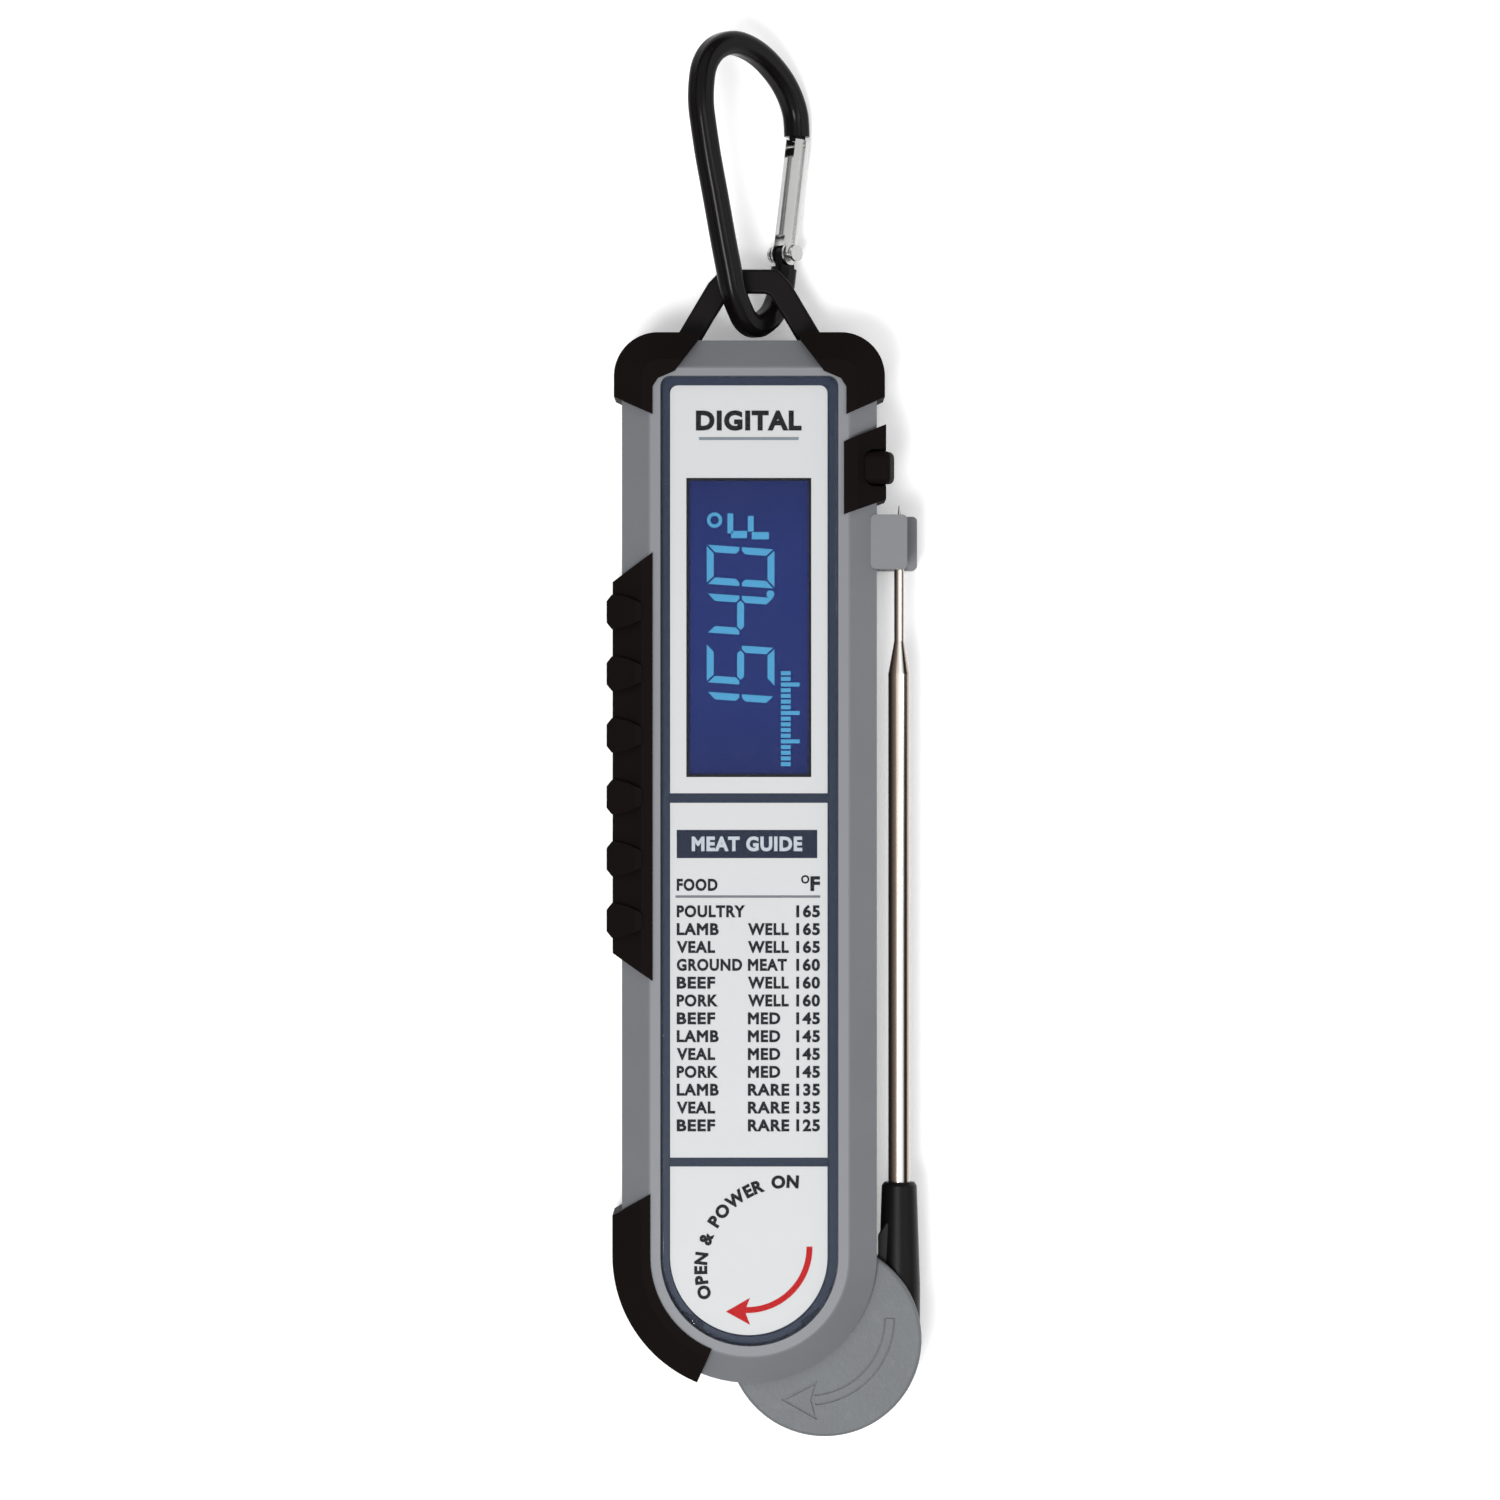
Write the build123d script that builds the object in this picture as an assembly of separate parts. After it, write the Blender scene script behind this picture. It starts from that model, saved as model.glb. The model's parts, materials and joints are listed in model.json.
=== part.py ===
from build123d import *
import math
import os

os.makedirs("parts", exist_ok=True)

# Millimetres. The thermometer lies on its flat back: +X across, +Y from the probe hub to the carabiner, +Z up.
half_width = 21.25  # half the case width
case_top = 86.9  # flat top end of the case
round_y = -65.7  # centre of the round bottom end
part_line = 10.5  # height where the two shells meet
crown_z = 17.0  # where the sloping shoulder starts
rim_z = 20.5  # flat rim around the lens
shoulder = 4.8  # width of the sloping shoulder
wall = 2.4  # shell wall
lens_half = 14.7  # half the lens width
lens_top = 80.7  # top edge of the lens
hub_x = 12.58  # pivot of the folding probe
hub_y = -79.9
hub_r = 16.2  # hub disc radius
hub_low = 5.5  # underside of the hub disc
hub_high = 15.5  # top of the hub disc
probe_x = 25.16  # probe axis when folded
probe_z = 10.5
cell_y = -28.0  # centre of the battery stack
loop_z = 9.9  # middle height of the hanging loop
loop_half = 1.0  # half its thickness
clear = 0.3  # gap kept between moving pieces
tilt = 47.0  # the carabiner lies turned by this much about its length
clip_rise = 11.1  # height of the carabiner plane over the line x = 0


def save(name, shape):
    shape.label = name
    export_step(shape, "parts/" + name + ".step")


def box(x0, x1, y0, y1, z0, z1):
    middle = ((x0 + x1) / 2, (y0 + y1) / 2, (z0 + z1) / 2)
    return Pos(*middle) * Box(x1 - x0, y1 - y0, z1 - z0)


def rod(x, y, z0, z1, radius):
    return Pos(x, y, (z0 + z1) / 2) * Cylinder(radius, z1 - z0)


def rod_y(x, z, y0, y1, radius):
    return Pos(x, (y0 + y1) / 2, z) * Rot(90, 0, 0) * Cylinder(radius, y1 - y0)


def slab(face, z0, z1):
    return Pos(0, 0, z0) * extrude(face, z1 - z0)


def stadium(half, top, corner):
    # A rectangle with small top corners that ends in a half circle at the bottom.
    body = Pos(0, (top + round_y) / 2) * Rectangle(2 * half, top - round_y)
    if corner > 0:
        body = fillet(body.vertices().sort_by(Axis.Y)[-2:], corner)
    return body + Pos(0, round_y) * Circle(half)


def case_outline(grow):
    return stadium(half_width + grow, case_top + grow, 6.0 + grow)


def case_form(grow):
    # Solid case: chamfered back edge, straight sides, sloping shoulder, flat rim.
    back = 1.8
    lift = 0.35 * grow
    angle = math.degrees(math.atan(shoulder / (rim_z - crown_z)))
    low_angle = 45.0
    side = slab(case_outline(grow), back, crown_z + lift)
    top_face = case_outline(grow)
    top = Pos(0, 0, crown_z + lift) * extrude(top_face, rim_z - crown_z, taper=angle)
    low = Pos(0, 0, back) * extrude(case_outline(grow), back, dir=(0, 0, -1), taper=low_angle)
    return side + top + low


def hub_zone(radius):
    return Pos(hub_x, hub_y) * Circle(radius)


def poly(points):
    return make_face(Polyline(*points, close=True))


# ---- rubber areas, drawn in plan ----

def bumper_zone(side):
    points = [(8.5, 90.0), (8.5, 86.95), (12.4, 81.6), (15.2, 80.4), (16.1, 79.0)]
    points += [(16.1, 74.4), (26.0, 79.1), (26.0, 90.0)]
    return poly([(side * x, y) for x, y in points])


def grip_zone():
    return poly([(-16.1, 51.4), (-26.0, 44.3), (-26.0, -13.1), (-16.1, -19.75)])


def lower_zone():
    ring = Pos(0, round_y) * (Circle(26.0) - Circle(16.5))
    keep = poly([(-30.0, round_y), (-30.0, -95.0), (-12.1, -95.0), (0, round_y)])
    return (ring & keep) + poly([(-16.5, -55.2), (-26.0, -60.9), (-26.0, round_y), (-16.5, round_y)])


def pad_zone():
    return poly([(15.7, 69.85), (26.0, 74.3), (26.0, 61.6), (15.7, 57.75)])


def rubber(zone, grow):
    # An overmoulded rubber area: proud of the case by grow, let into it by 1.1.
    outer = case_form(grow) - slab(case_outline(8.0), -1.0, 2.2)
    return (slab(zone, 1.0, 24.0) & outer) - case_form(-1.1)


def make_grip():
    body = rubber(grip_zone(), 1.55)
    tall = case_form(2.55) - case_form(1.2)
    for n in range(6):
        y = 41.6 - 10.28 * n
        half = [(-17.8, 1.3), (-20.2, 2.4), (-22.4, 2.9), (-22.9, 2.9), (-24.2, 1.3)]
        plan = poly([(x, y + h) for x, h in half] + [(x, y - h) for x, h in reversed(half)])
        plan = fillet(plan.vertices(), 0.4)
        body += slab(plan, 3.2, 24.0) & tall
    return body


# ---- case shells ----

def lens_outline(grow):
    return stadium(lens_half + grow, lens_top + grow, 1.7 + min(grow, 0.0) * 0.6)


def cavity_outline():
    return case_outline(-wall) - hub_zone(19.8)


shell_bosses = [(-15.0, 77.0), (15.0, 77.0), (-14.9, -58.0), (15.3, -53.0)]
board_posts = [(-9.6, 76.0), (9.6, 76.0), (-9.6, -50.0), (9.6, -50.0)]

button_seat = Pos(20.0, 65.6, 17.5) * Rot(0, 78, 0)  # local z points out along the push direction


def button_plan(grow):
    return RectangleRounded(5.0 + 2 * grow, 5.4 + 2 * grow, 1.3 + grow)


def hanging_loop():
    outer = poly([(-4.7, 99.3), (4.7, 99.3), (6.9, 97.0), (13.5, 85.9), (13.5, 81.4), (-13.5, 81.4), (-13.5, 85.9), (-6.9, 97.0)])
    inner = poly([(-3.2, 95.25), (3.2, 95.25), (5.9, 91.0), (8.2, 87.1), (8.9, 84.4), (-8.9, 84.4), (-8.2, 87.1), (-5.9, 91.0)])
    inner = fillet(inner.vertices().sort_by(Axis.Y)[-2:], 1.5)
    body = slab(outer - inner, loop_z - loop_half, loop_z + loop_half)
    edges = body.edges().filter_by(lambda e: e.center().Y > 88.5)
    edges = edges.filter_by(lambda e: abs(e.center().Z - loop_z) > loop_half - 0.01)
    return fillet(edges, 0.5)


def catch_block():
    front = slab(RectangleRounded(6.1, 9.05, 0.8), 0, 5.4)
    rear = slab(RectangleRounded(8.0, 9.05, 0.8), 0, 5.4)
    y = 53.33
    body = Pos(23.25, y, 12.4) * front + Pos(24.2, y, 3.2) * rear
    return body + box(20.2, 22.3, 48.9, 57.75, 3.4, 17.6)


def rear_shell(loop, catch, rubbers, gasket):
    body = case_form(0) & slab(case_outline(3.0), 0, part_line)
    body -= slab(cavity_outline(), 2.2, part_line + 1)
    for x, y in shell_bosses:
        body += rod(x, y, 1.5, part_line, 3.0)
        body -= rod(x, y, -1, 3.0, 2.5)
        body -= rod(x, y, 2, part_line + 1, 1.0)
    for x, y in board_posts:
        body += rod(x, y, 2.0, 11.5, 2.2)
        body -= rod(x, y, 6.5, 12.5, 0.8)
    body += rod(0, cell_y, 1.0, 2.2, 15.0)
    body -= rod(0, cell_y, -1, 4, 12.06)
    notch = box(-14.0, 14.0, cell_y - 3.1, cell_y + 3.1, -1, 2.4)
    body -= Pos(0, cell_y, 0) * Rot(0, 0, -60) * Pos(0, -cell_y, 0) * notch
    body -= slab(hub_zone(18.0), hub_low - clear, 12)
    body -= rod(hub_x, hub_y, 1.5, 8, 1.6)
    body -= rod(hub_x, hub_y, 4.6, 8, 4.2)
    body -= box(hub_x - 1.1, hub_x + 1.1, hub_y + 4.0, -58.0, 2.6, 4.4)
    body -= box(hub_x - 1.1, hub_x + 1.1, hub_y, hub_y + 4.2, 2.6, 4.4)
    return body - loop - catch - rubbers - gasket


def front_shell(loop, catch, rubbers):
    body = case_form(0) & slab(case_outline(3.0), part_line, 25)
    body -= slab(cavity_outline(), part_line - 1, 16.6)
    for x, y in shell_bosses:
        body += rod(x, y, part_line, 16.8, 2.6)
        body -= rod(x, y, 9, 15.2, 1.0)
    body -= slab(lens_outline(-1.3), 14.0, 25) - slab(hub_zone(19.8), 13.0, 17.9)
    body -= slab(lens_outline(0.1), 18.55, 25)
    body -= slab(hub_zone(18.0), 9, hub_high + clear)
    body -= rod(hub_x, hub_y, 15, 16.6, 1.6)
    body -= button_seat * slab(button_plan(0.4), -4.7, 4.7)
    body -= button_seat * Pos(0, 0, -5.6) * Box(3.6, 5.4, 4.4)
    return body - loop - catch - rubbers


def gasket_ring():
    outer = case_outline(-1.4) - hub_zone(18.5)
    inner = case_outline(-2.1) - hub_zone(19.2)
    return slab(outer - inner, 9.6, part_line)


# ---- face, labels and display ----

def label_sheet(y0, y1, round_bottom):
    plan = Pos(-0.1, (y0 + y1) / 2) * Rectangle(26.2, y1 - y0)
    if y1 > 70:
        plan = fillet(plan.vertices().sort_by(Axis.Y)[-2:], 1.3)
    if round_bottom:
        low = Pos(-0.1, round_y) * Circle(13.1)
        plan = Pos(-0.1, (y1 + round_y) / 2) * Rectangle(26.2, y1 - round_y) + low
    return slab(plan, 18.3, 18.5)


def lcd_hole():
    return box(-10.5, 10.3, 14.1, 63.9, 15, 19)


def backing_sheet():
    plan = stadium(13.35, 79.35, 0.8)
    return slab(plan, 17.95, 18.3) - lcd_hole()


# ---- folding probe ----

def arrow_plan(inset):
    # A curved shaft and a barbed head, all shrunk by inset.
    x, y = 9.75, -76.25
    turn = math.radians(-85.0)
    far = (x + 40 * math.cos(turn), y + 40 * math.sin(turn))
    ring = Pos(x, y) * (Circle(14.65 - inset) - Circle(12.75 + inset))
    wedge = poly([(x, y), (x + 40, y - inset), (x + 40, y - 40), far])
    size = 1 - inset * 0.62
    corners = [(5.3, -89.9), (11.3, -86.8), (10.4, -89.9), (11.3, -93.3)]
    head = [(9.2 + size * (a - 9.2), -89.95 + size * (b + 89.95)) for a, b in corners]
    return (ring & wedge) + poly(head)


def hub_arrow():
    return slab(arrow_plan(0.0) - arrow_plan(0.35), hub_high - 0.3, hub_high + 1)


def sleeve_form():
    profile = [(0, -79.6), (3.5, -79.6), (3.5, -71.0), (2.95, -54.5), (2.55, -53.9), (0, -53.9)]
    face = Plane.XY * make_face(Polyline(*profile, close=True))
    flare = poly([(23.0, -60.6), (21.65, -63.0), (21.65, -66.4), (24.0, -73.0), (25.5, -64.0)])
    return Pos(probe_x, 0, probe_z) * revolve(face, Axis.Y) + slab(flare, 8.0, 13.0)


def probe_form():
    profile = [(0, -78.0), (1.85, -78.0), (1.85, 31.4), (0.85, 36.9), (0.85, 51.0), (0.3, 57.8), (0.1, 59.6), (0, 59.6)]
    face = make_face(Polyline(*profile, close=True))
    hollow = [(0, -79.0), (1.25, -79.0), (1.25, 29.5), (0.5, 34.5), (0.5, 51.0), (0, 51.0)]
    bore = make_face(Polyline(*hollow, close=True))
    return Pos(probe_x, 0, probe_z) * revolve(face - bore, Axis.Y)


def hub_half(z0, z1, sleeve):
    body = rod(hub_x, hub_y, z0, z1, hub_r)
    rim = body.edges().filter_by(GeomType.CIRCLE).sort_by(Axis.Z)
    edge = rim[-1] if z1 > 12 else rim[0]
    body = fillet(edge, 0.6)
    body -= sleeve
    body -= box(26.6, 30.0, -79.6, -60.0, probe_z - 3.3, probe_z + 3.3)
    body -= rod(hub_x, hub_y, z0 - 1, z1 + 1, 1.66)
    body -= box(14.5, 22.0, hub_y - 1.2, hub_y + 1.2, 9.3, 11.7)
    body -= box(20.5, 26.2, hub_y - 1.2, hub_y + 1.2, 9.3, 11.7)
    body -= rod(2.0, hub_y, 9.0, 12.0, 2.02)
    for x, y in hub_screw_spots:
        body -= rod(x, y, 4, 12.5, 0.9)
        body -= rod(x, y, 4, 6.9, 1.7)
    return body


hub_screw_spots = [(12.58, -91.9), (4.2, -71.5)]


def hub_leads():
    pieces = []
    for s in (-0.5, 0.5):
        path = Polyline((14.6, hub_y + s, 10.5), (probe_x + s, hub_y + s, 10.5), (probe_x + s, 28.0, 10.5))
        ring = Plane(origin=(14.6, hub_y + s, 10.5), z_dir=(1, 0, 0)) * Circle(0.32)
        pieces.append(sweep(ring, path=path, transition=Transition.ROUND))
    return Compound(pieces)


# ---- carabiner ----

def lie(shape):
    return Pos(0, 0, clip_rise) * Rot(0, tilt, 0) * shape


clip_line = [(11.78, 122.4), (10.96, 127.4), (7.34, 132.2), (1.02, 136.0), (-5.41, 136.7), (-10.3, 133.7)]
clip_line += [(-11.83, 127.8), (-10.71, 120.3), (-8.11, 110.3), (-5.41, 100.3), (-3.26, 93.9), (0.31, 90.0)]
clip_line += [(4.79, 91.4), (7.5, 95.4), (8.57, 99.9)]
hinge_u = 8.77
hinge_v = 102.4
nose_u = 11.9


def unit(x, y):
    size = math.hypot(x, y)
    return (x / size, y / size)


def arc_pair(p, q, a, b):
    # Two arcs that leave p along a and reach q along b, smooth where they meet.
    vx, vy = q[0] - p[0], q[1] - p[1]
    along = vx * (a[0] + b[0]) + vy * (a[1] + b[1])
    bend = 2 * (1 - a[0] * b[0] - a[1] * b[1])
    square = vx * vx + vy * vy
    if bend < 1e-6:
        reach = square / (4 * (vx * b[0] + vy * b[1]))
    else:
        reach = (math.sqrt(along * along + bend * square) - along) / bend
    joint = ((p[0] + q[0] + reach * (a[0] - b[0])) / 2, (p[1] + q[1] + reach * (a[1] - b[1])) / 2)
    first = TangentArc(p, joint, tangent=a)
    turn = first % 1
    return [first, TangentArc(joint, q, tangent=(turn.X, turn.Y))]


def clip_path():
    ways = [(0.0, 1.0)]
    for before, after in zip(clip_line, clip_line[2:]):
        ways.append(unit(after[0] - before[0], after[1] - before[1]))
    ways.append(unit(0.18, 1.0))
    edges = []
    for n in range(len(clip_line) - 1):
        edges += arc_pair(clip_line[n], clip_line[n + 1], ways[n], ways[n + 1])
    return Wire([edge.edge() for edge in edges])


def clip_body():
    start = Plane(origin=(clip_line[0][0], clip_line[0][1], 0), z_dir=(0, 1, 0))
    section = start * RectangleRounded(3.7, 4.0, 1.3)
    body = sweep(section, path=clip_path())
    body += box(hinge_u - 1.5, hinge_u + 1.5, 99.0, hinge_v, -0.8, 0.8)
    body += rod(hinge_u, hinge_v, -0.8, 0.8, 1.5)
    body -= rod(hinge_u, hinge_v, -3, 3, 0.7)
    tongue = box(nose_u - 1.2, nose_u + 1.2, 119.2, 123.0, -0.75, 0.75)
    notch = box(nose_u - 2.0, nose_u + 0.4, 119.85, 121.7, -2, 2)
    return body + (tongue - notch)


def gate_form():
    body = rod_y(0, 0, 102.4, 121.95, 2.0) + Pos(0, 102.4, 0) * Cylinder(1.95, 2.9)
    body -= box(-3, 3, 99, 105.3, -1.1, 1.1)
    body -= box(-3, 3, 118.7, 123, -1.05, 1.05)
    body -= rod_y(0, 0, 105.0, 114.0, 1.1)
    body -= Pos(0, 102.4, 0) * Cylinder(0.76, 6)
    body -= Pos(-0.4, 120.95, 0) * Cylinder(0.4, 6)
    return place_gate(body)


gate_lean = math.degrees(math.atan((nose_u - hinge_u) / (120.95 - hinge_v)))


def place_gate(shape):
    moved = Rot(0, 0, -gate_lean) * Pos(0, -102.4, 0) * shape
    return lie(Pos(hinge_u, hinge_v, 0) * moved)


def gate_rivet():
    body = Pos(hinge_u, hinge_v, 0) * (Cylinder(0.7, 4.6) + Pos(0, 0, 2.55) * Cylinder(1.4, 0.5) + Pos(0, 0, -2.55) * Cylinder(1.4, 0.5))
    return lie(body)


def gate_spring():
    coil = Helix(0.9, 7.0, 0.75)
    start = coil @ 0
    ring = Plane(origin=start, z_dir=coil % 0) * Circle(0.14)
    body = sweep(ring, path=coil)
    return place_gate(Pos(0, 105.6, 0) * Rot(-90, 0, 0) * body)


# ---- hardware ----

def screw(x, y, z_head, head_r, head_h, shank_r, length, up):
    # up = 1 puts the shank above the head, -1 below it.
    head = rod(x, y, min(z_head, z_head - up * head_h), max(z_head, z_head - up * head_h), head_r)
    tip = z_head + up * length
    shank = rod(x, y, min(z_head, tip), max(z_head, tip), shank_r)
    z_face = z_head - up * head_h
    arm = head_r * 1.2
    cross = Box(arm, 0.45, 1.4) + Box(0.45, arm, 1.4)
    return head + shank - Pos(x, y, z_face) * cross


def write_parts():
    loop = hanging_loop()
    catch = catch_block()
    bumpers = {"top_bumper_left": rubber(bumper_zone(-1), 1.35), "top_bumper_right": rubber(bumper_zone(1), 1.35)}
    bumpers["side_grip"] = make_grip()
    bumpers["bottom_bumper"] = rubber(lower_zone(), 1.6)
    pad = rubber(pad_zone(), 1.55)
    pad_hole = button_seat * slab(button_plan(0.4), -8.0, 8.0)
    bumpers["button_pad"] = pad - pad_hole
    rubbers = [shape for shape in bumpers.values()]
    gasket = gasket_ring() - loop
    hub_cut = slab(hub_zone(18.0), hub_low - clear, hub_high + clear)
    for name in bumpers:
        bumpers[name] = bumpers[name] - hub_cut - loop
    rear = rear_shell(loop, catch, rubbers, gasket)
    front = front_shell(loop, catch, rubbers)
    save("hang_loop", loop)
    save("tip_catch", catch)
    for name, shape in bumpers.items():
        save(name, shape)
    save("shell_gasket", gasket)
    save("rear_shell", rear)
    save("front_shell", front)
    button = slab(button_plan(0), -3.2, 3.9)
    button = fillet(button.faces().sort_by(Axis.Z)[-1].edges(), 0.9)
    save("side_button", button_seat * button)
    save("tact_switch", button_seat * (Pos(0, 0, -5.5) * Box(3.2, 4.4, 1.0) + Pos(0, 0, -4.7) * Cylinder(1.2, 0.8)))
    save("switch_board", button_seat * Pos(0, 0, -6.4) * Box(3.0, 4.8, 0.8))
    write_face()
    write_inside()
    write_probe()
    write_clip()


def write_face():
    lens = slab(lens_outline(0), 18.7, 20.9)
    top = lens.edges().filter_by(lambda e: e.center().Z > 20.89)
    save("face_lens", fillet(top, 0.5))
    save("lens_border", slab(lens_outline(0) - lens_outline(-1.35), 18.55, 18.7))
    save("label_top", label_sheet(11.4, 79.3, False) - lcd_hole())
    save("label_chart", label_sheet(-49.25, 9.8, False))
    save("label_bottom", label_sheet(-79, -50.75, True))
    save("label_backing", backing_sheet())
    glass = box(-11.6, 11.4, 12.4, 65.6, 16.3, 17.9)
    save("lcd_glass", glass)
    save("backlight", box(-11.6, 9.8, 12.4, 65.6, 14.5, 16.2))
    frame = box(-12.6, 12.6, 11.4, 66.6, 13.1, 17.9) - box(-11.75, 11.75, 12.2, 65.8, 12, 18)
    save("lcd_frame", frame)
    save("zebra_strip", box(10.1, 11.3, 14.0, 64.0, 13.1, 16.3))


def write_inside():
    board = box(-12.0, 12.0, -54.0, 79.5, 11.5, 13.1)
    for x, y in board_posts:
        board -= rod(x, y, 11, 14, 0.95)
    save("main_board", board)
    save("controller_chip", rod(0, -5.0, 13.1, 14.4, 4.5))
    save("signal_chip", box(-3.0, 3.0, -22.0, -17.0, 13.1, 14.5))
    save("crystal_can", box(-8.5, -6.5, -8.5, -2.5, 13.1, 14.7))
    led = box(-2.0, 2.0, 67.6, 69.6, 13.1, 14.3)
    save("backlight_leds", led + Pos(-7, 0, 0) * led + Pos(7, 0, 0) * led)
    save("board_screws", Compound([screw(x, y, 13.1, 1.6, 1.0, 0.8, 5.8, -1) for x, y in board_posts]))
    save("shell_screws", Compound([screw(x, y, 3.0, 2.2, 1.6, 1.0, 12.0, 1) for x, y in shell_bosses]))
    cells = [rod(0, cell_y, z, z + 3.2, 10.0) for z in (3.9, 7.15)]
    save("coin_cells", Compound(cells))
    holder = rod(0, cell_y, 3.85, 11.4, 11.6) - rod(0, cell_y, 3, 12, 10.25)
    holder -= box(9.8, 12.5, cell_y - 2.6, cell_y + 2.6, 4.1, 12)
    save("cell_holder", holder)
    save("contact_positive", box(10.05, 10.3, cell_y - 2.5, cell_y + 2.5, 4.2, 11.5))
    ring = rod(0, cell_y, 11.1, 11.35, 5.0) - rod(0, cell_y, 11, 12, 3.6)
    finger = box(-0.9, 0.9, cell_y - 4.4, cell_y + 4.4, 11.1, 11.35)
    save("contact_negative", ring + finger + rod(0, cell_y, 10.35, 11.2, 1.0))
    cap = rod(0, cell_y, 0, 2.2, 12.0) + rod(0, cell_y, 2.0, 3.5, 11.4) - rod(0, cell_y, 2.0, 4, 9.8)
    cap += box(-13.2, -9.9, cell_y - 2.5, cell_y + 2.5, 2.5, 3.5) + box(9.9, 13.2, cell_y - 2.5, cell_y + 2.5, 2.5, 3.5)
    cap -= box(-8.0, 8.0, cell_y - 1.1, cell_y + 1.1, -1, 1.0)
    save("battery_cap", cap - rod(0, cell_y, 0.8, 1.6, 13) + rod(0, cell_y, 0.7, 1.7, 11.2))
    save("cap_seal", rod(0, cell_y, 0.8, 1.6, 11.95) - rod(0, cell_y, 0.7, 1.7, 11.2))
    save("reed_switch", rod_y(5.0, 13.9, -52.0, -41.0, 0.8))
    wires = []
    for s in (-0.5, 0.5):
        x = hub_x + s
        path = Polyline((x, -77.9, 3.5), (x, -57.0, 3.5), (x - 1.4, -55.2, 12.3), (x - 1.4, -54.1, 12.3))
        ring = Plane(origin=(x, -77.9, 3.5), z_dir=(0, 1, 0)) * Circle(0.35)
        wires.append(sweep(ring, path=path, transition=Transition.ROUND))
    save("board_leads", Compound(wires))


def write_probe():
    sleeve = sleeve_form()
    probe = probe_form()
    front = hub_half(part_line, hub_high, sleeve) - hub_arrow()
    rear = hub_half(hub_low, part_line, sleeve)
    save("probe_sleeve", sleeve - rod_y(probe_x, probe_z, -78.0, 0.0, 1.85) - box(20, 26.2, hub_y - 1.2, -77.9, 9.3, 11.7))
    save("probe_tube", probe)
    save("hub_front", front)
    save("hub_rear", rear)
    save("hub_screws", Compound([screw(x, y, 6.9, 1.6, 1.1, 0.9, 5.4, 1) for x, y in hub_screw_spots]))
    save("hub_magnet", rod(2.0, hub_y, 9.0, 12.0, 2.0))
    save("probe_leads", hub_leads())
    save("sensor_bead", rod_y(probe_x, probe_z, 47.0, 50.5, 0.45))
    pin = rod(hub_x, hub_y, 1.5, 16.6, 1.6)
    save("pivot_pin", pin)
    save("pivot_washer", rod(hub_x, hub_y, 4.6, 5.15, 4.1) - rod(hub_x, hub_y, 4, 6, 1.6))


def write_clip():
    save("carabiner_body", lie(clip_body()))
    save("carabiner_gate", gate_form())
    save("gate_rivet", gate_rivet())
    pin = Pos(-0.4, 120.95, 0) * Cylinder(0.4, 3.6)
    save("gate_pin", place_gate(pin))
    save("gate_spring", gate_spring())


write_parts()
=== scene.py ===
import json
import math
import bmesh
import bpy
import numpy as np
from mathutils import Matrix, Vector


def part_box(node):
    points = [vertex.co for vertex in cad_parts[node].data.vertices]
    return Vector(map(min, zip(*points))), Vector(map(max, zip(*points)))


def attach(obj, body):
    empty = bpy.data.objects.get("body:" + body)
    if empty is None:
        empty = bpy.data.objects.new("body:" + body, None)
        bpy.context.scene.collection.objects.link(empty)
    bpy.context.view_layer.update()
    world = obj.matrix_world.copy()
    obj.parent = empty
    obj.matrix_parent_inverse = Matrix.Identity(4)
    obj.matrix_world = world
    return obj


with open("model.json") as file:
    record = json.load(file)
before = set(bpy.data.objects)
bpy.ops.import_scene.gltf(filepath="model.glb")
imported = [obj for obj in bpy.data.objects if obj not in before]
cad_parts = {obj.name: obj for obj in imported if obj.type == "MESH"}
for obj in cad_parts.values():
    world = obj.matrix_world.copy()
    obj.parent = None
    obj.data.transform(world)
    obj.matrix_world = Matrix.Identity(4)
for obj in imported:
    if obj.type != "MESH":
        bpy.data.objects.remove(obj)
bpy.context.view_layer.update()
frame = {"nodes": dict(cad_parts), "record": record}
mm = 0.001  # the dictionaries below are in millimetres and degrees, unless a note says otherwise


def linear(red, green, blue):
    # display values 0 to 255 turned into the linear colour a shader takes
    parts = [v / 255.0 for v in (red, green, blue)]
    return tuple(v / 12.92 if v <= 0.04045 else ((v + 0.055) / 1.055) ** 2.4 for v in parts)


def shade(color, factor):
    # the same colour, darker or lighter
    return tuple(min(v * factor, 1.0) for v in color)


def setStops(ramp, stops):
    # stops are (place, colour), from 0 to 1
    while len(ramp.elements) < len(stops):
        ramp.elements.new(0.5)
    for stop, (spot, color) in zip(ramp.elements, stops):
        stop.position = spot
        stop.color = (*color, 1.0)


def plug(tree, socket, value):
    # a link where the value comes from a node, else the socket's own number or colour
    if isinstance(value, Sock):
        tree.links.new(value.out, socket)
    elif socket.type == "RGBA":
        socket.default_value = (*value[:3], 1.0)
    else:
        socket.default_value = value


def addNode(tree, kind, settings=None, output=0, **values):
    # settings are set first; a socket is named, with _ for a space, or numbered, as in n0
    node = tree.nodes.new(kind)
    for key, value in (settings or {}).items():
        if key == "stops":
            setStops(node.color_ramp, value)
        else:
            setattr(node, key, value)
    for key, value in values.items():
        numbered = key[0] == "n" and key[1:].isdigit()
        plug(tree, node.inputs[int(key[1:]) if numbered else key.replace("_", " ")], value)
    return Sock(tree, node.outputs[output]) if node.outputs else None


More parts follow.
